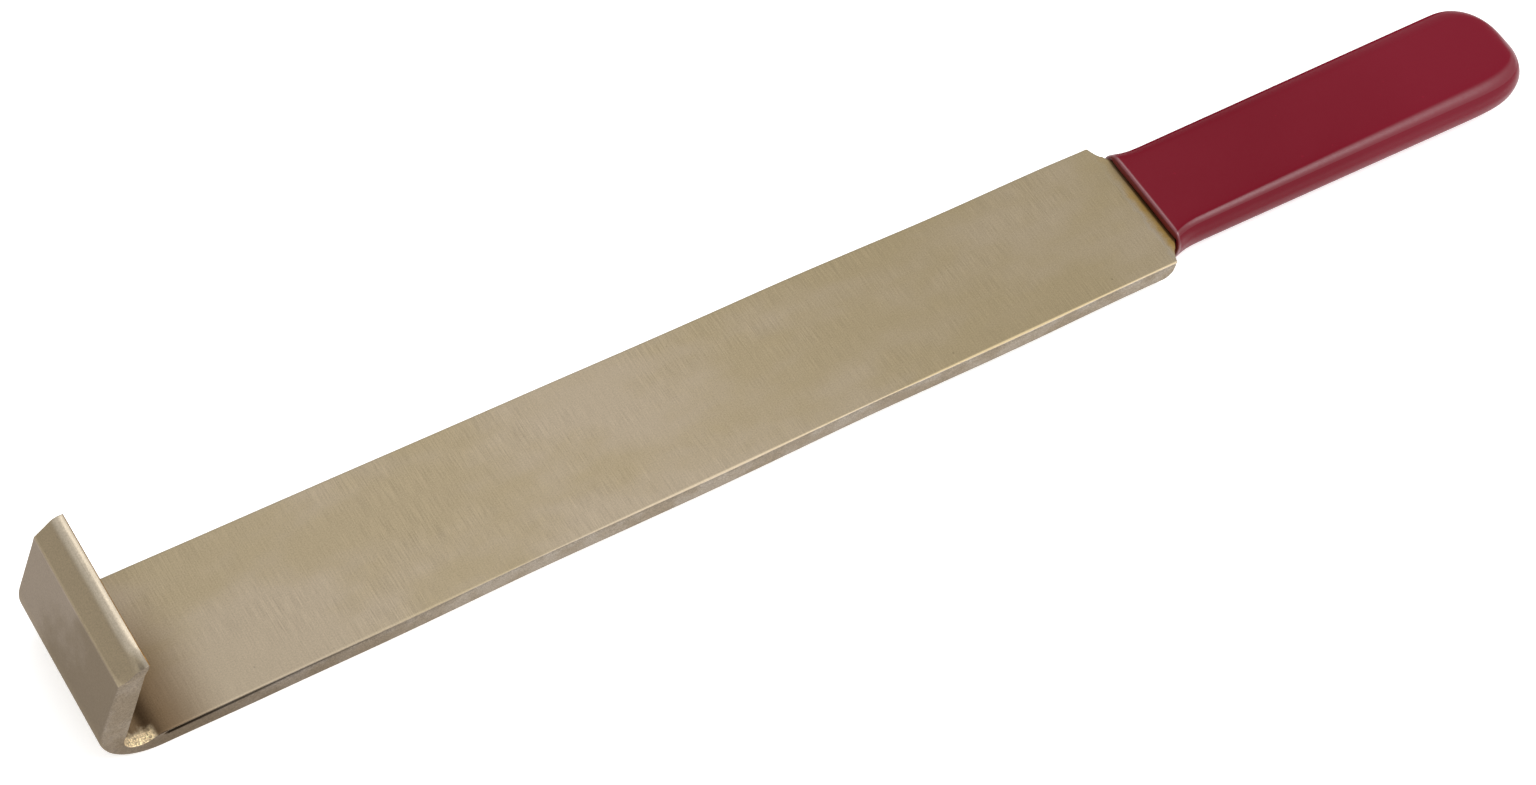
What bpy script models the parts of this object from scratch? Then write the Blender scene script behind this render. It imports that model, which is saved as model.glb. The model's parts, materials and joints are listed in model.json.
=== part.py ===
"""Hive tool: a one-piece bronze bar with a bent-up scraping hook, and a dipped vinyl grip over its tang.

Run with: blender --background --python part.py
Metres, +Z up, +X towards the grip. At rest the heel of the bend and the grip's underside touch Z = 0.
"""

import math

import bmesh
import bpy
from mathutils import Matrix, Vector

# The bar. x runs from the hook to the grip, and z = 0 is the blade's underside.
BLADE_WIDTH = 0.032
BAR_THICKNESS = 0.005
HOOK_HEIGHT = 0.0318
HEEL_RADIUS = 0.012
INNER_LEAN = math.radians(11.5)  # the hook leans over the blade
OUTER_LEAN = math.radians(13.5)  # and thins a little towards its lip
INNER_FOOT_X = 0.0050  # where the hook's inner face meets the level of the blade's upper face
OUTER_FOOT_X = -0.0005  # where its outer face meets the same level
CREASE_Z = 0.0284  # where the ground bevel starts on the outer face
LIP_Z = 0.0314
RELIEF_RADIUS = 0.0036  # of the groove in the inside corner
RELIEF_DEPTH = 0.0009  # of that groove, below the blade's upper face
HOOK_END_X = 0.022  # from here on the bar is a flat strip
EDGE_ROUND = 0.0005

# The shoulders and the tang.
SHOULDER_X = 0.2364
SHOULDER_STEP = 0.0031  # slanted part of each shoulder, across the blade
TANG_START_X = 0.2382
ROOT_LENGTH = 0.0060  # concave corner between shoulder and tang
TANG_WIDTH = 0.0202
TANG_END_X = 0.3377
TANG_CORNER = 0.0085

# The grip.
FIT_GAP = 0.0003  # between vinyl and tang
MOUTH_X = 0.2392
MOUTH_ROUND = 0.0005
COAT_AT_MOUTH = 0.0019
COAT_AT_END = 0.0029  # the coat is thicker at the end that hung lowest
FLARE = 0.0013  # how far each side of the mouth stands out
FLARE_LENGTH = 0.0065
TIP_LENGTH = 0.0115  # where the end rounds off, seen from above
DOME_LENGTH = 0.0050  # and seen from the side
GRIP_END_X = TANG_END_X + COAT_AT_END


def material(name, colour, roughness, metallic):
    made = bpy.data.materials.new(name)
    made.use_nodes = True
    shader = made.node_tree.nodes["Principled BSDF"]
    shader.inputs["Base Color"].default_value = (*colour, 1.0)
    shader.inputs["Roughness"].default_value = roughness
    shader.inputs["Metallic"].default_value = metallic
    return made


def to_object(name, mesh, made_of):
    bmesh.ops.recalc_face_normals(mesh, faces=mesh.faces)
    data = bpy.data.meshes.new(name)
    mesh.to_mesh(data)
    mesh.free()
    data.materials.append(made_of)
    data.shade_smooth()
    data.set_sharp_from_angle(angle=math.radians(35))
    obj = bpy.data.objects.new(name, data)
    bpy.context.scene.collection.objects.link(obj)
    return obj


def arc(centre, radius, start, end, steps=10):
    """Points on a circle from one angle to another, both included."""
    angles = [start + (end - start) * i / steps for i in range(steps + 1)]
    return [(centre[0] + radius * math.cos(a), centre[1] + radius * math.sin(a)) for a in angles]


def on_lean(foot_x, lean, z):
    """The point at height z on a leaning face, given where it meets the blade's upper face."""
    return foot_x + (z - BAR_THICKNESS) * math.tan(lean), z


def heel_arc():
    """The outside of the bend, from the underside up to the hook's outer face."""
    rise = (HEEL_RADIUS - BAR_THICKNESS) * math.tan(OUTER_LEAN)
    centre = (OUTER_FOOT_X + rise + HEEL_RADIUS / math.cos(OUTER_LEAN), HEEL_RADIUS)
    return arc(centre, HEEL_RADIUS, -math.pi / 2, -math.pi - OUTER_LEAN, 16)


def crown():
    """The rounded bevel that brings the outer face over to the sharp lip."""
    start = Vector(on_lean(OUTER_FOOT_X, OUTER_LEAN, CREASE_Z))
    lip = Vector(on_lean(INNER_FOOT_X, INNER_LEAN, LIP_Z))
    over = Vector((start.x + 0.65 * (lip.x - start.x), 2 * HOOK_HEIGHT - LIP_Z))
    shares = [i / 8 for i in range(9)]
    return [tuple(start * (1 - s) ** 2 + over * 2 * s * (1 - s) + lip * s**2) for s in shares]


def relief_arc():
    """The groove in the inside corner, from the hook's inner face out to the blade's upper face."""
    centre_z = BAR_THICKNESS + RELIEF_RADIUS - RELIEF_DEPTH
    face_x, _ = on_lean(INNER_FOOT_X, INNER_LEAN, centre_z)
    centre = (face_x + RELIEF_RADIUS / math.cos(INNER_LEAN), centre_z)
    out = math.asin((RELIEF_RADIUS - RELIEF_DEPTH) / RELIEF_RADIUS)
    return arc(centre, RELIEF_RADIUS, math.pi - INNER_LEAN, 2 * math.pi - out, 12)


def tang_side(grow, first_x):
    """One edge of the tang seen from above, (x, half width), moved outwards by grow."""
    half = TANG_WIDTH / 2
    flare = BLADE_WIDTH / 2 - SHOULDER_STEP - half
    root_end = TANG_START_X + ROOT_LENGTH
    points = []
    for i in range(11):
        x = first_x + (root_end - first_x) * i / 10
        points.append((x, half + grow + flare * ((root_end - x) / ROOT_LENGTH) ** 4))
    corner = (TANG_END_X - TANG_CORNER, half - TANG_CORNER)
    return points + arc(corner, TANG_CORNER + grow, math.pi / 2, 0.0)


def add_prism(mesh, outline, travel):
    """Adds a solid made by moving a flat outline, and leaves it open where the bar carries on."""
    face = mesh.faces.new([mesh.verts.new(point) for point in outline])
    made = bmesh.ops.extrude_face_region(mesh, geom=[face], use_keep_orig=True)
    moved = [v for v in made["geom"] if isinstance(v, bmesh.types.BMVert)]
    bmesh.ops.translate(mesh, vec=travel, verts=moved)
    level = [f for f in mesh.faces if all(abs(v.co.x - HOOK_END_X) < 1e-6 for v in f.verts)]
    bmesh.ops.delete(mesh, geom=level, context="FACES_ONLY")


def is_lip(edge):
    lip_x, lip_z = on_lean(INNER_FOOT_X, INNER_LEAN, LIP_Z)
    return all(abs(v.co.x - lip_x) + abs(v.co.z - lip_z) < 1e-6 for v in edge.verts)


def make_body(bronze):
    """Hook, blade and tang: a side profile for the hook and a plan outline for the rest, in one solid."""
    half = BLADE_WIDTH / 2
    mesh = bmesh.new()
    profile = [(HOOK_END_X, BAR_THICKNESS), (HOOK_END_X, 0.0)] + heel_arc() + crown() + relief_arc()
    add_prism(mesh, [(x, -half, z) for x, z in profile], Vector((0.0, BLADE_WIDTH, 0.0)))
    side = [(HOOK_END_X, half), (SHOULDER_X, half)] + tang_side(0.0, TANG_START_X)
    plan = side + [(x, -y) for x, y in reversed(side)]
    add_prism(mesh, [(x, y, 0.0) for x, y in plan], Vector((0.0, 0.0, BAR_THICKNESS)))
    bmesh.ops.remove_doubles(mesh, verts=mesh.verts, dist=1e-6)
    bmesh.ops.recalc_face_normals(mesh, faces=mesh.faces)
    turned = math.radians(40)
    edges = [e for e in mesh.edges if e.calc_face_angle() > turned and not is_lip(e)]
    bmesh.ops.bevel(
        mesh, geom=edges, offset=EDGE_ROUND, segments=2, profile=0.5, affect="EDGES", material=-1
    )
    return to_object("tool_body", mesh, bronze)


def coat_at(x):
    """Thickness of the vinyl along the grip."""
    share = (x - MOUTH_X) / (GRIP_END_X - MOUTH_X)
    return COAT_AT_MOUTH + (COAT_AT_END - COAT_AT_MOUTH) * share


def end_share(x, length):
    """1 along the grip, falling to 0 at its end over the given length as a quarter ellipse does."""
    past = max(0.0, 1 - (GRIP_END_X - x) / length)
    return math.sqrt(1 - past**2)


def section(x, half_width, half_height, radius):
    """A rounded rectangle across the grip, centred on the bar."""
    ring = []
    for turn, (side, up) in enumerate([(1, 1), (-1, 1), (-1, -1), (1, -1)]):
        centre = (side * (half_width - radius), BAR_THICKNESS / 2 + up * (half_height - radius))
        start = turn * math.pi / 2
        ring += [(x, y, z) for y, z in arc(centre, radius, start, start + math.pi / 2, 6)]
    return ring


def grip_outside():
    flare_end = MOUTH_X + FLARE_LENGTH
    tip_start = GRIP_END_X - TIP_LENGTH
    stations = [MOUTH_X, MOUTH_X + MOUTH_ROUND]
    stations += [MOUTH_X + FLARE_LENGTH * share for share in (0.25, 0.5, 0.75)]
    stations += [flare_end + (tip_start - flare_end) * i / 6 for i in range(7)]
    for degrees in (15, 30, 42, 54, 64, 73, 80, 86, 90):
        stations.append(tip_start + TIP_LENGTH * math.sin(math.radians(degrees)))
    rings = []
    for x in stations:
        flare = FLARE * max(0.0, (flare_end - x) / FLARE_LENGTH) ** 2
        inset = MOUTH_ROUND if x == MOUTH_X else 0.0
        width = (TANG_WIDTH / 2 + coat_at(x) + flare) * (0.16 + 0.84 * end_share(x, TIP_LENGTH))
        height = (BAR_THICKNESS / 2 + coat_at(x)) * (0.35 + 0.65 * end_share(x, DOME_LENGTH))
        radius = 0.9 * min(width, height) - inset
        rings.append(section(x, width - inset, height - inset, radius))
    return rings


def make_grip(vinyl):
    """The vinyl coat: one skin from its closed end to the mouth, then back along the hollow."""
    hollow_height = BAR_THICKNESS / 2 + FIT_GAP
    corner = EDGE_ROUND + FIT_GAP
    hollow = [section(x, y, hollow_height, corner) for x, y in tang_side(FIT_GAP, MOUTH_X)]
    mesh = bmesh.new()
    rings = [[mesh.verts.new(p) for p in ring] for ring in grip_outside()[::-1] + hollow]
    for ring, following in zip(rings, rings[1:]):
        for i in range(len(ring)):
            mesh.faces.new((ring[i - 1], ring[i], following[i], following[i - 1]))
    mesh.faces.new(rings[0])
    mesh.faces.new(rings[-1])
    return to_object("grip", mesh, vinyl)


def lay_at_rest(pieces):
    """Tips the tool until heel and grip both touch Z = 0, and centres it over the origin."""
    heel = heel_arc()
    low_x = GRIP_END_X - DOME_LENGTH
    tip = math.atan2(coat_at(low_x), low_x - heel[0][0])
    turn = Matrix.Rotation(-tip, 3, "Y")
    near_x = min((turn @ Vector((x, 0.0, z))).x for x, z in heel)
    far_x = (turn @ Vector((GRIP_END_X, 0.0, BAR_THICKNESS / 2))).x
    lift = max(-(turn @ Vector((x, 0.0, z))).z for x, z in heel)
    rest = bpy.data.objects.new("rest_pose", None)
    bpy.context.scene.collection.objects.link(rest)
    rest.location = (-(far_x + near_x) / 2, 0.0, lift)
    rest.rotation_euler = (0.0, -tip, 0.0)
    for piece in pieces:
        piece.parent = rest


for old in list(bpy.data.objects):
    bpy.data.objects.remove(old)
body = make_body(material("bronze", (0.44, 0.37, 0.27), 0.42, 1.0))
grip = make_grip(material("vinyl", (0.23, 0.012, 0.028), 0.38, 0.0))
lay_at_rest([body, grip])
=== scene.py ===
import json
import math
from types import SimpleNamespace

import bmesh
import bpy
from mathutils import Matrix, Quaternion, Vector, noise


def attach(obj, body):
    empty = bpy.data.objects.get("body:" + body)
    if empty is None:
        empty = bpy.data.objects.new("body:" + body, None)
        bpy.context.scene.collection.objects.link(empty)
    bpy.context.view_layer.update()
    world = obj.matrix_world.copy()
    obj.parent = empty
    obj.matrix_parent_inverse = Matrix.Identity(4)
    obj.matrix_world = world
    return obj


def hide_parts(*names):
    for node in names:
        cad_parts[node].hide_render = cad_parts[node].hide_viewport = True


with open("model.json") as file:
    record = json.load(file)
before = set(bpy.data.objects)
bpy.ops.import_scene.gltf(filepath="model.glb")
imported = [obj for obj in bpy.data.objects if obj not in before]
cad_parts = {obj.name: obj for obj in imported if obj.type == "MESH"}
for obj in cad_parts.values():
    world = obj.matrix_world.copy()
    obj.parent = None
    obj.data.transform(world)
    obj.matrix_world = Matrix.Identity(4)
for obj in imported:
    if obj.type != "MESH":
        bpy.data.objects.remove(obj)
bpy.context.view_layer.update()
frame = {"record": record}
print("frame loaded")

# The pieces are modelled with the blade's back on z = 0, then laid down where the record has it.
bladeBack = next(m for m in frame["record"]["mounts"] if m["name"] == "blade_back")
restTip = math.atan2(bladeBack["axis"][0], -bladeBack["axis"][2])
bladeBackX = 0.125  # the same point before it is laid down
toolToRest = (
    Matrix.Translation(bladeBack["pos_m"])
    @ Matrix.Rotation(-restTip, 4, "Y")
    @ Matrix.Translation((-bladeBackX, 0, 0))
)


def finishPiece(name, mesh, material, nodeName):
    mesh.transform(toolToRest)
    bmesh.ops.recalc_face_normals(mesh, faces=mesh.faces)
    data = bpy.data.meshes.new(name)
    mesh.to_mesh(data)
    mesh.free()
    data.materials.append(material)
    data.shade_smooth()
    piece = bpy.data.objects.new(name, data)
    bpy.context.scene.collection.objects.link(piece)
    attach(piece, "root")
    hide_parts(nodeName)
    return piece


def newMaterial(name):
    material = bpy.data.materials.new(name)
    material.use_nodes = True
    tree = material.node_tree
    return material, tree, tree.nodes["Principled BSDF"]


def setSocket(tree, socket, value):
    if hasattr(value, "is_output"):
        tree.links.new(value, socket)
    elif socket.type == "RGBA":
        socket.default_value = (*value, 1)
    else:
        socket.default_value = value


def addNode(tree, kind, inputs, **settings):
    node = tree.nodes.new("ShaderNode" + kind)
    for key, value in settings.items():
        setattr(node, key, value)
    for key, value in inputs.items():
        setSocket(tree, node.inputs[key], value)
    return node


def calc(tree, operation, a, b=0.0, c=0.0):
    return addNode(tree, "Math", {0: a, 1: b, 2: c}, operation=operation).outputs[0]


def ramp(tree, value, low, high):
    # 0 at low and 1 at high, whichever of them is the larger
    ends = {"From Min": min(low, high), "From Max": max(low, high), "To Min": 0.0, "To Max": 1.0}
    if low > high:
        ends["To Min"], ends["To Max"] = 1.0, 0.0
    node = addNode(tree, "MapRange", {"Value": value, **ends}, interpolation_type="SMOOTHSTEP")
    return node.outputs["Result"]


def band(tree, value, low, high, soft):
    # 1 between low and high, fading over soft on either side
    rising = ramp(tree, value, low - soft, low)
    return calc(tree, "MULTIPLY", rising, ramp(tree, value, high + soft, high))


def both(tree, *masks):
    share = masks[0]
    for mask in masks[1:]:
        share = calc(tree, "MULTIPLY", share, mask)
    return share


def mixColour(tree, share, a, b):
    node = addNode(tree, "Mix", {0: share, 6: a, 7: b}, data_type="RGBA")
    return node.outputs[2]


def dim(tree, colour, share):
    # the colour times a plain number
    return addNode(tree, "VectorMath", {0: colour, "Scale": share}, operation="SCALE").outputs[0]


def tinted(tree, share, colour, tint):
    # the colour filtered through a tint, where share is 1
    node = addNode(tree, "Mix", {0: share, 6: colour, 7: tint}, data_type="RGBA", blend_type="MULTIPLY")
    return node.outputs[2]


def noiseAt(tree, place, scale, size, detail=2.0, rough=0.5, offset=(0, 0, 0)):
    # scale stretches the pattern on each axis, size is how many cells a metre
    mapped = addNode(tree, "Mapping", {"Vector": place, "Scale": scale, "Location": offset})
    settings = {"Vector": mapped.outputs[0], "Scale": size, "Detail": detail, "Roughness": rough}
    return addNode(tree, "TexNoise", settings).outputs["Fac"]


def toolPlace(tree):
    # where a point is on the tool before it is laid down, as a vector and as x, y and z
    back = toolToRest.inverted()
    turned = {"Location": back.translation, "Rotation": back.to_euler()}
    place = addNode(tree, "TexCoord", {}).outputs["Object"]
    place = addNode(tree, "Mapping", {"Vector": place, **turned}).outputs[0]
    return place, addNode(tree, "SeparateXYZ", {0: place}).outputs


bronzeLook = {
    "olive": (0.312, 0.256, 0.166),
    "pink": (0.336, 0.280, 0.204),
    "clouds": 42,  # olive and pink patches to the metre
    "gripward": (0.86, 0.85, 0.80),  # filter for the half towards the grip: painted shade, darker there
    "side": (0.275, 0.232, 0.182),
    "sidePale": (0.335, 0.295, 0.25),
    "hook": (0.168, 0.137, 0.106),  # outer face of the hook, darkened as painted shade
    "hookFar": (0.232, 0.196, 0.165),
    "bevel": (0.31, 0.25, 0.165),
    # the crown, paler: painted highlight
    "crown": (0.43, 0.37, 0.285),
    "cornerShade": (0.46, 0.37, 0.29),  # filter for painted shade inside the corner
    "sideShade": (0.56, 0.52, 0.49),  # and for painted shade on the narrow sides near the hook
    "tint": (0.27, 0.175, 0.055),  # heat colour beside the grip
    "gapShadow": (0.10, 0.05, 0.02),  # dark edge of it, against the vinyl: painted shadow of the gap under the rim
    "fringe": (0.27, 0.25, 0.225),  # the paler blue edge of that colour
    "raw": (0.80, 0.67, 0.46),  # unground patch in the corner
    "rust": (0.26, 0.14, 0.045),  # along the lip
    "lines": (4000, 0.62),  # sanding lines to the metre, and their strength
    "speckle": (3400, 0.8),
    "pits": -0.35,  # how dark they are
    "deepest": -0.12,  # extra shade at the bottom of the groove
    "burrGlint": (0.2, 0.9),  # painted highlight on the burr: near the hook, and what is added towards the grip
    "creaseGlint": 0.26,
    "roughness": 0.55,
    "polished": 0.36,  # roughness of the rounded crown above the bevel
    "bump": 0.3,
}


def barSurface(tree):
    # where a point lies on the bar and which way it faces, as distances and as masks
    place, (x, y, z) = toolPlace(tree)
    normal = addNode(tree, "NewGeometry", {}).outputs["Normal"]
    facing = addNode(tree, "SeparateXYZ", {0: normal}).outputs
    sideways = ramp(tree, calc(tree, "ABSOLUTE", facing["Y"]), 0.5, 0.85)
    notSide = calc(tree, "SUBTRACT", 1.0, sideways)
    level = addNode(tree, "CombineXYZ", {"X": x, "Z": z}).outputs[0]
    middle = (0.0095, 0, 0.0076)  # of the groove
    away = addNode(tree, "VectorMath", {0: level, 1: middle}, operation="DISTANCE")
    lip = onInner(bar["lipZ"])
    top = ramp(tree, z, lip.y - 0.0005, lip.y + 0.0001)
    return SimpleNamespace(
        place=place,
        x=x,
        y=y,
        z=z,
        facing=facing,
        across=calc(tree, "ABSOLUTE", y),
        sideways=sideways,
        notSide=notSide,
        upward=ramp(tree, calc(tree, "ABSOLUTE", facing["Z"]), 0.8, 0.97),
        inward=ramp(tree, calc(tree, "ADD", facing["X"], facing["Z"]), 0.2, 0.5),
        fromGroove=away.outputs["Value"],
        crown=both(tree, top, ramp(tree, x, lip.x + 0.0004, lip.x), notSide),
    )


def patchyColour(tree, at):
    # soft olive and pinkish areas, drawn out along the blade, with painted shade towards the grip, and
    # mottled narrow sides
    look = bronzeLook
    cloud = noiseAt(tree, at.place, (0.5, 1, 1), look["clouds"], 4, 0.55, (0.02, 0.01, 0))
    colour = mixColour(tree, ramp(tree, cloud, 0.40, 0.60), look["olive"], look["pink"])
    colour = tinted(tree, ramp(tree, at.x, 0.10, 0.20), colour, look["gripward"])  # painted shade, darker towards the grip
    mottle = noiseAt(tree, at.place, (1, 1, 1), 160, 4, 0.6, (0.7, 0, 0))
    side = mixColour(tree, ramp(tree, mottle, 0.4, 0.65), look["side"], look["sidePale"])
    return mixColour(tree, at.sideways, colour, side)


def hookColour(tree, at, colour):
    # the outer face, darkened as painted shade that fades paler on its far side and higher up, then the
    # bevel, and the crown above it painted paler as a highlight
    look = bronzeLook
    outer = both(tree, ramp(tree, at.facing["X"], -0.5, -0.9), ramp(tree, at.z, 0.004, 0.012))
    lessShaded = noiseAt(tree, at.place, (1, 1, 1), 95, 4, 0.6, (0.1, 0.3, 0))
    lessShaded = calc(tree, "MULTIPLY_ADD", lessShaded, 0.05, calc(tree, "ADD", at.y, -0.034))
    lessShaded = calc(tree, "MULTIPLY_ADD", at.z, 0.5, lessShaded)  # y, swayed by noise and rising with height
    face = mixColour(tree, ramp(tree, lessShaded, -0.006, 0.014), look["hook"], look["hookFar"])
    colour = mixColour(tree, outer, colour, face)
    crease = creaseZ()
    bevel = both(tree, ramp(tree, at.z, crease - 0.0002, crease + 0.0004), at.notSide)
    bevel = both(tree, bevel, ramp(tree, at.x, 0.0090, 0.0075))
    colour = mixColour(tree, bevel, colour, look["bevel"])
    # the crown painted paler as a highlight
    return mixColour(tree, at.crown, colour, look["crown"])


def sandedShade(tree, at):
    # fine sanding lines across the blade, only in places, then speckle and pits everywhere
    look = bronzeLook
    count, strength = look["lines"]
    lines = noiseAt(tree, at.place, (1, 0.045, 0.3), count, 3, 0.6)
    where = noiseAt(tree, at.place, (0.6, 1, 1), 70, 2, 0.5, (0.3, 0.2, 0))
    where = calc(tree, "MULTIPLY_ADD", ramp(tree, where, 0.35, 0.7), 0.8, 0.35)
    lines = both(tree, calc(tree, "SUBTRACT", lines, 0.5), at.upward, where)
    shade = calc(tree, "MULTIPLY_ADD", lines, strength, 1.0)
    count, strength = look["speckle"]
    speckle = calc(tree, "SUBTRACT", noiseAt(tree, at.place, (1, 1, 1), count, 3, 0.75), 0.5)
    coarse = calc(tree, "ADD", at.sideways, strength)
    shade = calc(tree, "MULTIPLY_ADD", speckle, coarse, shade)
    pits = ramp(tree, noiseAt(tree, at.place, (1, 1, 1), 640, 1, 0.5, (0.5, 0, 0)), 0.80, 0.86)
    return calc(tree, "MULTIPLY_ADD", pits, look["pits"], shade), lines, speckle


def paintedShadeNearHook(tree, at, colour, shade):
    # painted shade inside the corner, and on the narrow sides near the hook
    look = bronzeLook
    nearSide = calc(tree, "MULTIPLY_ADD", ramp(tree, at.y, 0.014, -0.004), 0.7, 0.3)
    corner = both(tree, ramp(tree, at.fromGroove, 0.0175, 0.0035), at.inward, nearSide)
    higher = calc(tree, "MULTIPLY_ADD", ramp(tree, at.z, 0.005, 0.012), -0.4, 1.0)  # less up the hook
    narrow = both(tree, at.sideways, ramp(tree, at.x, 0.085, 0.012), higher)
    deepest = both(tree, ramp(tree, at.fromGroove, 0.0060, 0.0042), at.inward)
    colour = tinted(tree, narrow, tinted(tree, corner, colour, look["cornerShade"]), look["sideShade"])
    return colour, calc(tree, "MULTIPLY_ADD", deepest, look["deepest"], shade)


def burrShade(tree, at, shade):
    # painted shadow in the deep line under the upper edges, deepest near the hook
    below = calc(tree, "SUBTRACT", bar["thickness"], at.z)
    deep = ramp(tree, at.x, 0.075, 0.013)  # 1 beside the hook, 0 a quarter of the way along
    sunk = calc(tree, "MULTIPLY_ADD", deep, -0.0001, below)
    foot = calc(tree, "MULTIPLY_ADD", deep, 0.00050, 0.00055)  # how far down the line reaches
    under = ramp(tree, calc(tree, "SUBTRACT", below, foot), 0.00025, 0)
    under = both(tree, under, ramp(tree, sunk, 0.00016, 0.00026))
    under = both(tree, under, ramp(tree, at.across, 0.0150, 0.0153), ramp(tree, at.x, 0.0130, 0.0138))
    strong = calc(tree, "MULTIPLY", ramp(tree, at.x, 0.24, 0.12), 0.4)  # fading out by the shoulder
    strong = calc(tree, "MULTIPLY_ADD", deep, 0.35, strong)
    shade = calc(tree, "MULTIPLY", shade, calc(tree, "SUBTRACT", 1.0, both(tree, under, strong)))
    # a painted highlight along the burr above that line, on the near edge
    burr = ramp(tree, calc(tree, "ABSOLUTE", sunk), 0.00020, 0.00008)
    burr = both(tree, burr, ramp(tree, at.across, 0.0155, 0.0158), ramp(tree, at.x, 0.0125, 0.014))
    burr = both(tree, burr, ramp(tree, at.y, 0, -0.001))
    least, more = bronzeLook["burrGlint"]
    glint = calc(tree, "MULTIPLY_ADD", ramp(tree, at.x, 0.04, 0.21), more, least)
    return calc(tree, "MULTIPLY_ADD", burr, glint, shade)


def creaseShade(tree, at, shade):
    # a painted highlight along the line where the bevel meets the hook's outer face
    crease = band(tree, at.z, creaseZ() - 0.0001, creaseZ() + 0.0002, 0.0002)
    crease = both(tree, crease, ramp(tree, at.x, 0.0075, 0.0065))
    return calc(tree, "MULTIPLY_ADD", crease, bronzeLook["creaseGlint"], shade)


def unground(tree, at, colour, shade):
    # the granular patch at each end of the groove in its own paler colour, its grains brightened as
    # painted glints, and how far they stand out
    grains = ramp(tree, noiseAt(tree, at.place, (1, 1, 1), 2500, 4, 0.75), 0.3, 0.7)
    ragged = noiseAt(tree, at.place, (1, 1, 1), 900, 2)
    ragged = calc(tree, "MULTIPLY_ADD", ragged, 0.003, at.across)
    patch = both(tree, ramp(tree, ragged, 0.0142, 0.0165), at.inward)
    patch = both(tree, patch, ramp(tree, at.fromGroove, 0.0043, 0.0036))
    patch = both(tree, patch, ramp(tree, at.x, 0.0120, 0.0108))
    # painted glints on the grains
    bright = calc(tree, "MULTIPLY_ADD", grains, 1.3, 0.35)
    shade = addNode(tree, "Mix", {0: patch, 2: shade, 3: bright}).outputs[0]
    return mixColour(tree, patch, colour, bronzeLook["raw"]), shade, patch, both(tree, patch, grains)


def heated(tree, at, colour):
    # heat colour beside the grip, stronger on the near side, with a pale edge, and a dark edge against
    # the vinyl that is painted shadow
    look, shoulder = bronzeLook, bar["shoulderX"]
    uneven = calc(tree, "SUBTRACT", noiseAt(tree, at.place, (1, 1, 1), 330, 4, 0.6), 0.5)
    heat = calc(tree, "MULTIPLY_ADD", uneven, 0.0035, at.x)  # x with a wavering edge
    nearSide = calc(tree, "MULTIPLY_ADD", ramp(tree, at.y, 0.010, -0.002), 0.75, 0.25)
    fringe = both(tree, band(tree, heat, shoulder + 0.0002, shoulder + 0.0006, 0.0010), nearSide)
    colour = mixColour(tree, calc(tree, "MULTIPLY", fringe, 0.25), colour, look["fringe"])
    tint = both(tree, ramp(tree, heat, shoulder, shoulder + 0.0022), nearSide)
    colour = mixColour(tree, tint, colour, look["tint"])
    # painted shadow of the gap under the vinyl's rim
    gapShadow = ramp(tree, at.x, shoulder + 0.0022, shoulder + 0.0026)
    gapShadow = both(tree, gapShadow, calc(tree, "MULTIPLY_ADD", nearSide, 0.3, 0.6))
    return mixColour(tree, gapShadow, colour, look["gapShadow"])


def rusted(tree, at, colour):
    # a thin rusty line along the lip, on its inner side
    lip = onInner(bar["lipZ"])
    rust = ramp(tree, at.x, lip.x - 0.00022, lip.x - 0.00008)
    rust = both(tree, rust, ramp(tree, at.z, lip.y - 0.0018, lip.y - 0.0014))
    rust = both(tree, rust, ramp(tree, at.x, 0.012, 0.0115))
    return mixColour(tree, rust, colour, bronzeLook["rust"])


def makeBronze():
    material, tree, shader = newMaterial("satinBronze")
    look = bronzeLook
    at = barSurface(tree)
    colour = hookColour(tree, at, patchyColour(tree, at))
    shade, lines, speckle = sandedShade(tree, at)
    colour, shade = paintedShadeNearHook(tree, at, colour, shade)
    shade = creaseShade(tree, at, burrShade(tree, at, shade))
    colour, shade, patch, grains = unground(tree, at, colour, shade)
    colour = rusted(tree, at, heated(tree, at, colour))
    setSocket(tree, shader.inputs["Base Color"], dim(tree, colour, shade))
    shader.inputs["Metallic"].default_value = 1.0
    shader.inputs["Specular Tint"].default_value = (0.85, 0.76, 0.62, 1)

    smoother = look["polished"] - look["roughness"]
    rough = calc(tree, "MULTIPLY_ADD", at.crown, smoother, look["roughness"])
    rough = calc(tree, "MULTIPLY_ADD", speckle, 0.12, rough)
    setSocket(tree, shader.inputs["Roughness"], calc(tree, "MULTIPLY_ADD", patch, 0.2, rough))

    height = calc(tree, "MULTIPLY_ADD", lines, 0.8, calc(tree, "MULTIPLY", speckle, 0.5))
    height = calc(tree, "MULTIPLY_ADD", grains, 9.0, height)
    relief = {"Height": height, "Strength": look["bump"], "Distance": 0.00005}
    setSocket(tree, shader.inputs["Normal"], addNode(tree, "Bump", relief).outputs[0])
    return material


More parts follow.
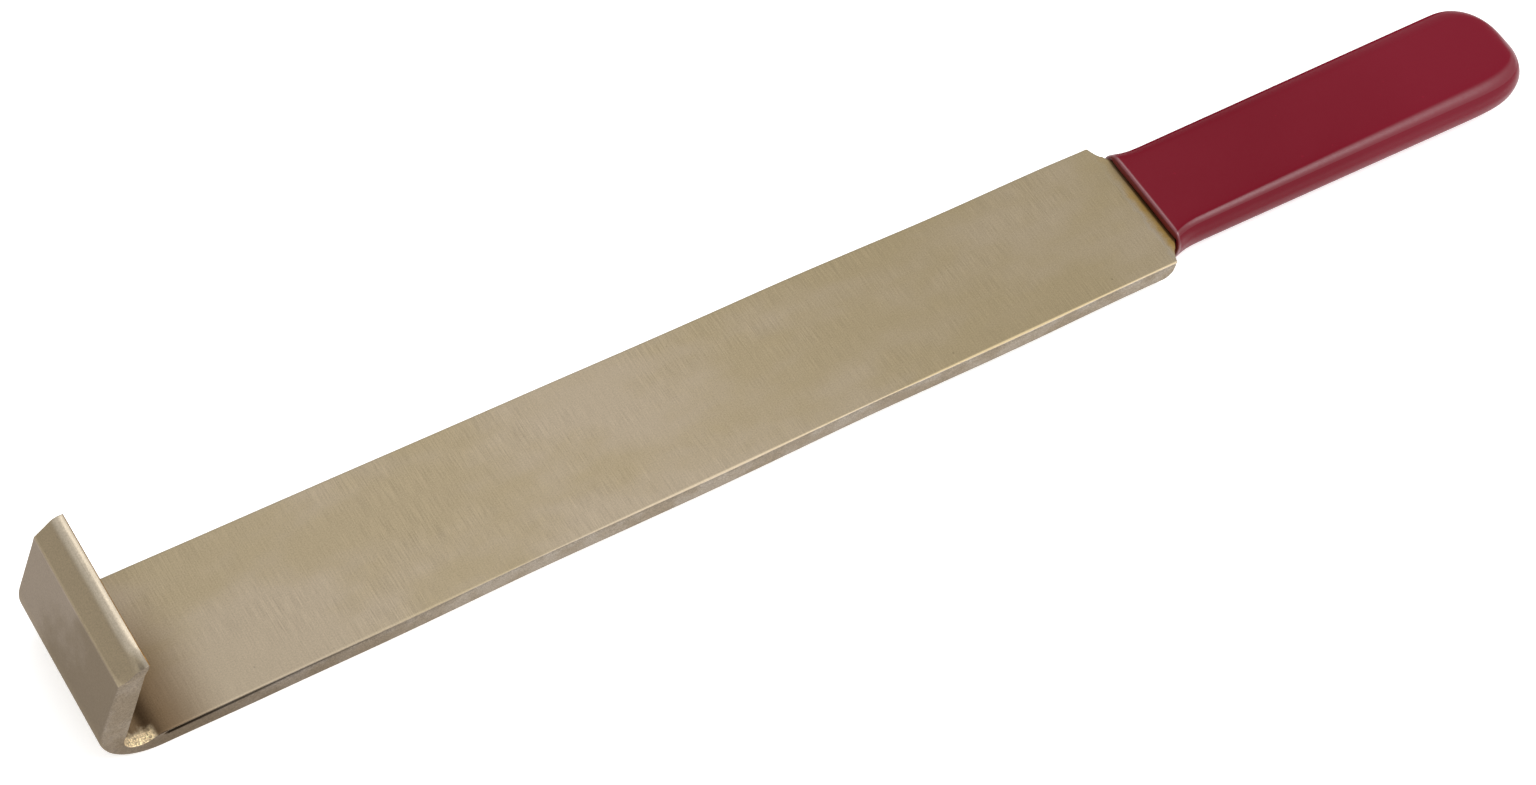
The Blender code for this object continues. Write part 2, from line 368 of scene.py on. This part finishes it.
bar = {
    "width": 0.032,
    "thickness": 0.005,
    "heelRadius": 0.0117,
    "innerLean": 11.5,  # degrees
    "outerLean": 13.5,
    "innerFootX": 0.0050,
    "outerFootX": -0.0007,
    "lipZ": 0.03180,
    "crownRadius": 0.0025,
    "bevelRise": 44,  # degrees, the ground bevel under the crown
    "lipFall": 21,  # degrees, where the crown comes down to the lip
    "lipThickness": 0.00012,
    "innerReach": (0.0016, 0.0028, 0.0047),  # down the inner face, beside crown, bevel and crease
    "grooveRadius": 0.0036,
    "grooveDepth": 0.0009,
    "grooveRise": 25,  # degrees, how steeply it comes up towards the blade
    "bladeStart": 0.0165,  # where the flat of the blade begins
    "shoulderX": 0.2364,
    "rootX": 0.2382,
    "rootLength": 0.0060,
    "stepHalf": 0.0129,
    "tangHalf": 0.0101,
    "tangCorner": 0.0085,
    "tangEnd": 0.3377,
    "innerRound": 0.00014,  # edge rounding on the upper and inner faces
    "grooveRound": 0.0002,  # and what the ends of the groove add to it
    "outerRound": 0.0004,
    "heelRound": (0.0009, 0.0006),  # on the near and the far side
    "endRound": 0.0028,  # the blade's lower corners, under the shoulders
    "stray": 0.0003,  # how far the long edges wander
    "burrStart": 0.0128,
    "burrDepth": 0.00045,  # of the shadow line under the burr
    "lipHollow": 0.0014,  # beside the lip's near corner
    "lipHorn": 0.0005,  # how far that corner stands out
}


def direction(degrees):
    return Vector((math.cos(math.radians(degrees)), math.sin(math.radians(degrees))))


def onFace(footX, lean, z):
    return Vector((footX + (z - bar["thickness"]) * math.tan(math.radians(lean)), z))


def onInner(z):
    return onFace(bar["innerFootX"], bar["innerLean"], z)


def onOuter(z):
    return onFace(bar["outerFootX"], bar["outerLean"], z)


def arcPoints(centre, radius, start, end, steps):
    return [centre + radius * direction(start + (end - start) * i / steps) for i in range(steps + 1)]


def evenSteps(first, last, count):
    # count equal steps from first to last, without first itself
    return [first + (last - first) * i / count for i in range(1, count + 1)]


def crownCentre():
    return onInner(bar["lipZ"]) - bar["crownRadius"] * direction(90 - bar["lipFall"])


def creaseZ():
    # where the ground bevel runs out on the outer face
    start = crownCentre() + bar["crownRadius"] * direction(90 + bar["bevelRise"])
    slope = math.tan(math.radians(bar["bevelRise"]))
    lean = math.tan(math.radians(bar["outerLean"]))
    rise = (start.x - onOuter(start.y).x) / (1 / slope - lean)
    return start.y - rise


def metalHalf(x):
    # half the width of the metal, narrowing at the shoulder and along the tang
    half, step, tang = bar["width"] / 2, bar["stepHalf"], bar["tangHalf"]
    if x < bar["rootX"]:
        share = max(0, (x - bar["shoulderX"]) / (bar["rootX"] - bar["shoulderX"]))
        return half + (step - half) * (1 - (1 - share) ** 1.6)
    root = max(0, 1 - (x - bar["rootX"]) / bar["rootLength"])
    past = max(0, min(1, 1 - (bar["tangEnd"] - x) / bar["tangCorner"]))
    return tang + (step - tang) * root**4 - bar["tangCorner"] * (1 - math.sqrt(1 - past**2))


def lipStations():
    # over the rounded crown, then down the ground bevel to its crease
    inner, lip, crease = bar["innerRound"], bar["lipZ"], creaseZ()
    crownReach, bevelReach, creaseReach = bar["innerReach"]
    crown = arcPoints(crownCentre(), bar["crownRadius"], 90 - bar["lipFall"], 90 + bar["bevelRise"], 12)
    found = []
    for i, point in enumerate(crown):
        found.append((onInner(lip - crownReach * (i / 12) ** 1.5), point, inner, 0.00025))
    for share in (0.35, 0.7, 0.96, 1.0):
        point = crown[-1].lerp(onOuter(crease), share)
        found.append((onInner(lip - crownReach - bevelReach * share), point, inner, 0.0003))
    found.append((onInner(lip - creaseReach), onOuter(crease - 0.00012), inner, 0.0003))
    return found


def heelPoints():
    # the outside of the bend, from the hook's outer face down to the blade's back
    radius = bar["heelRadius"]
    centreX = onOuter(radius).x + radius / math.cos(math.radians(bar["outerLean"]))
    return arcPoints(Vector((centreX, radius)), radius, 180 - bar["outerLean"], 270, 24)


def groovePoints():
    # the inside of the bend: the groove, then a convex brow up to the blade
    radius, rise = bar["grooveRadius"], bar["grooveRise"]
    centreZ = bar["thickness"] + radius - bar["grooveDepth"]
    centreX = onInner(centreZ).x + radius / math.cos(math.radians(bar["innerLean"]))
    groove = arcPoints(Vector((centreX, centreZ)), radius, 180 - bar["innerLean"], 270 + rise, 18)
    brow = (bar["thickness"] - groove[-1].y) / (1 - math.cos(math.radians(rise)))
    browFoot = groove[-1] - brow * direction(90 + rise)
    return groove + arcPoints(browFoot, brow, 90 + rise, 90, 6)[1:]


def bladeStations():
    # along the blade, close together at the shoulders, and out to the tang's rounded end
    shoulder, root, tip = bar["shoulderX"], bar["rootX"], bar["tangEnd"] - bar["tangCorner"]
    found = [bar["bladeStart"]] + evenSteps(bar["bladeStart"], shoulder - 0.0039, 54)
    found += [shoulder - x for x in (0.003, 0.0022, 0.0016, 0.0011, 0.0007, 0.0003, 0.0001)]
    found += [shoulder + x for x in (0.0001, 0.0004, 0.0009, 0.0014)]
    found += [root + bar["rootLength"] * i / 8 for i in range(9)]
    found += evenSteps(root + bar["rootLength"], tip, 6)
    return found + [tip + bar["tangCorner"] * math.sin(math.radians(a)) for a in range(10, 91, 10)]


def barStations():
    # from the lip down the hook, round the heel and along to the tang's end:
    # a point on the inner or upper face, one on the outer or lower face, and the two edge roundings
    inner, outer, thick = bar["innerRound"], bar["outerRound"], bar["thickness"]
    heel, groove, crease = heelPoints(), groovePoints(), creaseZ()
    found = lipStations()
    top = found[-1][0].y
    for share in evenSteps(0, 7 / 8, 7):
        low = onOuter(crease + (heel[0].y - crease) * share)
        found.append((onInner(top + (groove[0].y - top) * share), low, inner, outer))
    for high, low in zip(groove, heel):
        found.append((high, low, inner + bar["grooveRound"], outer))
    for x in (0.0006, 0.0016):
        high = Vector((groove[-1].x + x, thick))
        found.append((high, Vector((heel[-1].x + x * 0.6, 0)), inner, outer))
    for x in bladeStations():
        found.append((Vector((x, thick)), Vector((x, 0)), inner, outer))
    return found


def barSection(half, thick, inner, outer, burr):
    # (y, depth below the inner face) once round the bar, the same number of points everywhere
    inner, outer = min(inner, 0.4 * thick), min(outer, 0.4 * thick)
    free = thick - inner - outer
    side = []
    for turn in (0, 22, 45, 68, 90):
        turn = math.radians(turn)
        side.append((inner * (1 - math.sin(turn)), inner * (1 - math.cos(turn))))
    # down the narrow side: millimetres below the upper edge's rounding, and how deep the notch is there
    for depth, notch in ((0.12, 0), (0.3, 1), (0.75, 0.9), (1.1, 0), (2.2, 0), (3.6, 0)):
        side.append((burr * notch, inner + min(depth / 1000, depth / 5 * free)))
    for turn in (0, 22, 45, 68, 90):
        turn = math.radians(turn)
        side.append((outer * (1 - math.cos(turn)), thick - outer * (1 - math.sin(turn))))
    shares = (0.97, 0.91, 0.84, 0.76, 0.5, 0.2, -0.2, -0.5, -0.76, -0.84, -0.91, -0.97)
    ring = [(half - inset, depth) for inset, depth in side]
    ring += [(share * (half - outer), thick) for share in shares]
    ring += [(inset - half, depth) for inset, depth in reversed(side)]
    ring += [(-share * (half - inner), 0) for share in shares]
    return ring


def heelGrowth(low):
    # the outer edges are rounded more and more towards the heel, and less again along the blade
    heelEnd, fadeLength = 0.012, 0.022
    if low.y > 0.001:
        share = (creaseZ() - low.y) / (creaseZ() - bar["heelRadius"])
    else:
        share = 1 - (low.x - heelEnd) / fadeLength
    share = max(0, min(1, share))
    return share * share * (3 - 2 * share)


def burrAt(x, side):
    # how deep the notch is: deepest beside the hook, shallower from 70 mm on, and never quite even
    if not bar["burrStart"] < x < bar["shoulderX"]:
        return 0
    fade = (0.35 + 0.65 * max(0, 1 - x / 0.07)) * min(1, (x - bar["burrStart"]) / 0.001)
    return bar["burrDepth"] * fade * (1 + 0.7 * noise.noise(Vector((x * 90, side * 3, 5))))


def strayEdge(v, x, y):
    # long edges that wander a little
    start, end, fadeLength = 0.014, bar["shoulderX"] - 0.002, 0.01
    if start < x < end and abs(y) > bar["width"] / 2 - 0.0006:
        side = 1 if y > 0 else -1
        fade = min(1, (x - start) / fadeLength, (end - x) / fadeLength)
        v.co.y += side * fade * bar["stray"] * noise.noise(Vector((x * 28, side * 7, 0)))


def hollowLip(v, x, y, z):
    # the crown is ground hollow beside the lip's near corner, which is left standing
    if z > creaseZ():
        near = max(0, 1 - (bar["width"] / 2 + y) / 0.005)
        rise = min(1, (z - creaseZ()) / 0.002)
        thick = max(0, min(1, (onInner(z).x - x) / 0.0016))
        horn = bar["lipHorn"] * near**3 * rise * (1 - thick)
        v.co.y -= horn
        v.co.z += horn - bar["lipHollow"] * near**1.6 * rise * thick


def roundShoulder(v, x, y, z):
    # the blade's lower corners, under the shoulders
    half, shoulder, root, big = bar["width"] / 2, bar["shoulderX"], bar["rootX"], bar["endRound"]
    if shoulder - big < x < root + 0.0005:
        slant = (half - bar["stepHalf"]) / (root - shoulder)
        away = (shoulder + (half - abs(y)) / slant - x) * slant / math.hypot(1, slant)
        away = max(0, min(big, away))
        lift = big - math.sqrt(max(0, big**2 - (big - away) ** 2))
        inside = max(0, min(1, (abs(y) - 0.0122) / 0.0012))  # 0 under the tang, 1 at the corners
        v.co.z = max(z, lift * inside)


def roughGrind(mesh):
    for v in mesh.verts:
        x, y, z = v.co
        strayEdge(v, x, y)
        hollowLip(v, x, y, z)
        roundShoulder(v, x, y, z)


def nextRing(mesh, rim):
    # draws an open rim out into one more ring: its points, and the new rim
    made = bmesh.ops.extrude_edge_only(mesh, edges=rim)["geom"]
    points = [g for g in made if isinstance(g, bmesh.types.BMVert)]
    return points, [e for e in made if isinstance(e, bmesh.types.BMEdge) and e.is_boundary]


def closeEnds(mesh):
    bmesh.ops.holes_fill(mesh, edges=[e for e in mesh.edges if e.is_boundary], sides=0)


def sectionsAt(high, low, inner, outer):
    # the section with the near side's rounding and the one with the far side's
    thick, x = (low - high).length, high.x
    half = metalHalf(x) if x > bar["bladeStart"] else bar["width"] / 2
    found = []
    for side, big in zip((-1, 1), bar["heelRound"]):
        rounded = outer + (big - outer) * heelGrowth(low)
        found.append(barSection(half, thick, inner, rounded, burrAt(x, side)))
    return found


def makeBar(material):
    mesh = bmesh.new()
    spot = mesh.verts.layers.int.new("spot")
    count = len(barSection(1, 1, 0.1, 0.1, 0))
    ring = bmesh.ops.create_circle(mesh, segments=count, radius=1)["verts"]
    for k, v in enumerate(ring):
        v[spot] = k
    rim = mesh.edges[:]
    for station, (high, low, inner, outer) in enumerate(barStations()):
        if station:
            ring, rim = nextRing(mesh, rim)
        if (low - high).length < bar["lipThickness"]:
            low = high - bar["lipThickness"] * direction(-bar["lipFall"])
        near, far = sectionsAt(high, low, inner, outer)
        down = (low - high).normalized()
        for v in ring:
            y, depth = (far if far[v[spot]][0] > 0 else near)[v[spot]]
            point = high + down * depth
            v.co = (point.x, y, point.y)
    closeEnds(mesh)
    roughGrind(mesh)
    return finishPiece("bronzeBar", mesh, material, "tool_body")


bronze = makeBronze()
barPiece = makeBar(bronze)
print("bar made")


vinylLook = {
    "red": (0.134, 0.0022, 0.0100),
    "paler": (0.158, 0.0055, 0.0160),  # towards the end of the grip
    "roughness": 0.3,
    "shine": 0.065,
    "handledShine": 0.40,  # along the edge under the fingers
    "sideShine": 0.16,
    "rimShine": 0.9,
    "bump": 0.12,
}


def vinylShine(tree, facing, axes):
    # the edge under the fingers and the rim at the mouth shine more than the flats
    look, mouth = vinylLook, grip["mouth"]
    nearSide = ramp(tree, axes["Y"], 0, -0.004)
    handled = both(tree, band(tree, facing["Z"], 0.8, 0.93, 0.05), nearSide)
    rim = ramp(tree, axes["X"], mouth + 0.0009, mouth + 0.0004)
    side = band(tree, facing["Y"], -0.78, -0.66, 0.2)
    shine = calc(tree, "MULTIPLY", rim, look["rimShine"])
    shine = calc(tree, "MAXIMUM", shine, calc(tree, "MULTIPLY", handled, look["handledShine"]))
    shine = calc(tree, "MAXIMUM", shine, calc(tree, "MULTIPLY", side, look["sideShine"]))
    # the far edge and the underside stay dark
    lit = both(tree, ramp(tree, facing["Y"], 0.7, 0.3), ramp(tree, facing["Z"], -0.8, -0.1))
    return calc(tree, "MULTIPLY_ADD", lit, look["shine"], shine)


def makeVinyl():
    material, tree, shader = newMaterial("dippedVinyl")
    look = vinylLook
    place, axes = toolPlace(tree)
    normal = addNode(tree, "NewGeometry", {}).outputs["Normal"]
    facing = addNode(tree, "SeparateXYZ", {0: normal}).outputs
    cloud = ramp(tree, noiseAt(tree, place, (0.6, 1, 1), 60, 3), 0.3, 0.7)
    endward = calc(tree, "MULTIPLY_ADD", cloud, 0.3, ramp(tree, axes["X"], 0.255, 0.335))
    colour = mixColour(tree, endward, look["red"], look["paler"])
    specks = ramp(tree, noiseAt(tree, place, (1, 1, 1), 900, 1), 0.76, 0.82)
    colour = dim(tree, colour, calc(tree, "MULTIPLY_ADD", specks, 0.25, 1.0))
    setSocket(tree, shader.inputs["Base Color"], colour)
    shader.inputs["Roughness"].default_value = look["roughness"]
    gloss = shader.inputs["Specular IOR Level"]
    gloss.default_value = look["shine"]
    setSocket(tree, gloss, vinylShine(tree, facing, axes))
    skin = noiseAt(tree, place, (1, 1, 1), 420, 3)
    relief = {"Height": skin, "Strength": look["bump"], "Distance": 0.0002}
    setSocket(tree, shader.inputs["Normal"], addNode(tree, "Bump", relief).outputs[0])
    return material


grip = {
    "mouth": 0.2393,
    "end": 0.3404,
    "coat": (0.0019, 0.0029),  # at the mouth and at the end
    "half": (0.0120, 0.0131),
    "softness": (0.9, 1.4),  # how much wider than high the rounding is
    "flare": 0.0013,
    "ragged": 0.00022,  # unevenness of the mouth
    "flareLength": 0.0065,
    "lipRound": 0.0005,
    "fit": 0.00005,  # room between vinyl and tang
    "farTip": (0.0106, 2.15),  # length and fullness of each corner of the end, seen from above
    "nearTip": (0.0200, 3.3),
    "dome": 0.0052,
    "ringPoints": 32,
}


def along(x, pair):
    share = (x - grip["mouth"]) / (grip["end"] - grip["mouth"])
    return pair[0] + (pair[1] - pair[0]) * share


def skinPoint(angle, x, inset=0.0):
    # a point on the vinyl's outside, at an angle round the grip
    height = bar["thickness"] / 2 + along(x, grip["coat"])
    flare = max(0, 1 - (x - grip["mouth"]) / grip["flareLength"]) ** 2
    width = along(x, grip["half"]) + grip["flare"] * flare
    length, fullness = grip["farTip"] if math.cos(angle) > 0 else grip["nearTip"]
    past = max(0, min(1, 1 - (grip["end"] - x) / length))
    width *= (1 - past**fullness) ** (1 / fullness)
    over = max(0, min(1, 1 - (grip["end"] - x) / grip["dome"]))
    height *= 0.3 + 0.7 * math.sqrt(1 - over**2)
    width, height = max(width, 0.001) - inset, height - inset
    radius = 0.9 * min(width, height)  # nearly a full round
    wide = min(width, radius * along(x, grip["softness"]))
    y = math.copysign(width - wide, math.cos(angle)) + wide * math.cos(angle)
    z = math.copysign(height - radius, math.sin(angle)) + radius * math.sin(angle)
    return Vector((x, y, bar["thickness"] / 2 + z))


def hollowPoint(angle, x, grow=0.0):
    # a point on the hollow that the tang fills
    width = metalHalf(x) + grip["fit"] + grow
    height = bar["thickness"] / 2 + grip["fit"] + grow
    y = max(-width, min(width, 1.6 * width * math.cos(angle)))
    z = max(-height, min(height, 1.6 * height * math.sin(angle)))
    return Vector((x, y, bar["thickness"] / 2 + z))


def gripStations():
    # from the bottom of the hollow out to the mouth, round its lip and along to the closed end:
    # which surface, how far along the tool, and how far in from that surface
    mouth, end, lip = grip["mouth"], grip["end"], grip["lipRound"]
    depth = bar["tangEnd"] + grip["fit"]
    corner = depth - bar["tangCorner"]
    inside = [depth - 0.0001]
    inside += [corner + bar["tangCorner"] * math.sin(math.radians(a)) for a in (60, 30, 0)]
    inside += evenSteps(corner, mouth + 0.006, 4) + [mouth + 0.003, mouth + 0.001]
    outside = [mouth + x for x in (0.0015, 0.003, 0.005, 0.0075, 0.011)]
    outside += evenSteps(outside[-1], end - grip["nearTip"][0], 8)
    outside += [end - x for x in (0.016, 0.0125, 0.01, 0.008, 0.0062, 0.0046, 0.0032, 0.002)]
    outside += [end - x for x in (0.0011, 0.0005, 0.0001)]
    found = [(hollowPoint, x, 0) for x in inside]
    found += [(hollowPoint, mouth + lip * 0.3, 0), (hollowPoint, mouth, lip * 0.5)]
    found += [(skinPoint, mouth, lip), (skinPoint, mouth + lip * 0.3, lip * 0.3)]
    return found + [(skinPoint, x, 0) for x in [mouth + lip] + outside]


def makeGrip(material):
    mesh = bmesh.new()
    turnOf = mesh.verts.layers.float.new("turn")
    ring = bmesh.ops.create_circle(mesh, segments=grip["ringPoints"], radius=1)["verts"]
    for v in ring:
        v[turnOf] = math.atan2(v.co.y, v.co.x) + math.pi / grip["ringPoints"]
    rim = mesh.edges[:]
    for station, (pointOn, x, inset) in enumerate(gripStations()):
        if station:
            ring, rim = nextRing(mesh, rim)
        nearMouth = max(0, 1 - (x - grip["mouth"]) / 0.003)
        for v in ring:
            v.co = pointOn(v[turnOf], x, inset)
            uneven = noise.noise(Vector((v.co.y * 400, v.co.z * 200, 2)))
            v.co.x += nearMouth * grip["ragged"] * uneven
    closeEnds(mesh)
    piece = finishPiece("vinylGrip", mesh, material, "grip")
    smooth = piece.modifiers.new("smooth", "SUBSURF")
    smooth.levels = 2
    smooth.render_levels = 2
    return piece


vinyl = makeVinyl()
gripPiece = makeGrip(vinyl)
print("grip made")

view = {
    "eye": (-0.08405, -0.22406, 0.46437),
    "aim": (0.14661, -0.00228, 0.0),
    "roll": 16.19,
    "lens": 68.6,
}


def makeCamera():
    data = bpy.data.cameras.new("camera")
    data.lens = view["lens"]
    data.sensor_width = 36
    camera = bpy.data.objects.new("camera", data)
    bpy.context.scene.collection.objects.link(camera)
    eye, aim = Vector(view["eye"]), Vector(view["aim"])
    turn = (aim - eye).to_track_quat("-Z", "Y") @ Quaternion((0, 0, 1), math.radians(view["roll"]))
    camera.matrix_world = toolToRest @ Matrix.Translation(eye) @ turn.to_matrix().to_4x4()
    bpy.context.scene.camera = camera


studio = {
    "zenith": 1.12,  # brightness of the surroundings overhead
    "horizon": 0.60,
    "glow": 0.42,  # the floor is a light table, which keeps the shadows faint
    # name: where it stands, width and height, power
    "lights": {
        "overBlade": ((1.3, 1.7, 3.3), (1.9, 1.5), 20),
        "frontRight": ((1.6, -1.55, 3.3), (1.6, 1.4), 52),
    },
}


def makeFloor():
    mesh = bmesh.new()
    bmesh.ops.create_grid(mesh, x_segments=1, y_segments=1, size=3)
    data = bpy.data.meshes.new("floor")
    mesh.to_mesh(data)
    mesh.free()
    floor = bpy.data.objects.new("floor", data)
    bpy.context.scene.collection.objects.link(floor)
    material, tree, shader = newMaterial("paleFloor")
    shader.inputs["Base Color"].default_value = (0.92, 0.92, 0.92, 1)
    shader.inputs["Roughness"].default_value = 0.9
    shader.inputs["Emission Color"].default_value = (1, 1, 1, 1)
    shader.inputs["Emission Strength"].default_value = studio["glow"]
    data.materials.append(material)


def areaLight(name, place, size, power):
    data = bpy.data.lights.new(name, "AREA")
    data.shape = "RECTANGLE"
    data.size, data.size_y = size
    data.energy = power
    lamp = bpy.data.objects.new(name, data)
    bpy.context.scene.collection.objects.link(lamp)
    lamp.location = place
    lamp.rotation_euler = (-Vector(place)).to_track_quat("-Z", "Y").to_euler()


def makeWorld():
    # plain light, brighter overhead than at the horizon
    world = bpy.data.worlds.new("studio")
    bpy.context.scene.world = world
    world.use_nodes = True
    tree = world.node_tree
    towards = addNode(tree, "TexCoord", {}).outputs["Generated"]
    height = addNode(tree, "SeparateXYZ", {0: towards}).outputs["Z"]
    ends = {"To Min": studio["horizon"], "To Max": studio["zenith"]}
    above = addNode(tree, "MapRange", {"Value": height, **ends})
    background = tree.nodes["Background"]
    background.inputs["Color"].default_value = (1, 1, 1, 1)
    setSocket(tree, background.inputs["Strength"], above.outputs["Result"])


makeCamera()
makeFloor()
makeWorld()
for name, (place, size, power) in studio["lights"].items():
    areaLight(name, place, size, power)
bpy.context.scene.view_settings.view_transform = "Standard"
print("camera and studio made")
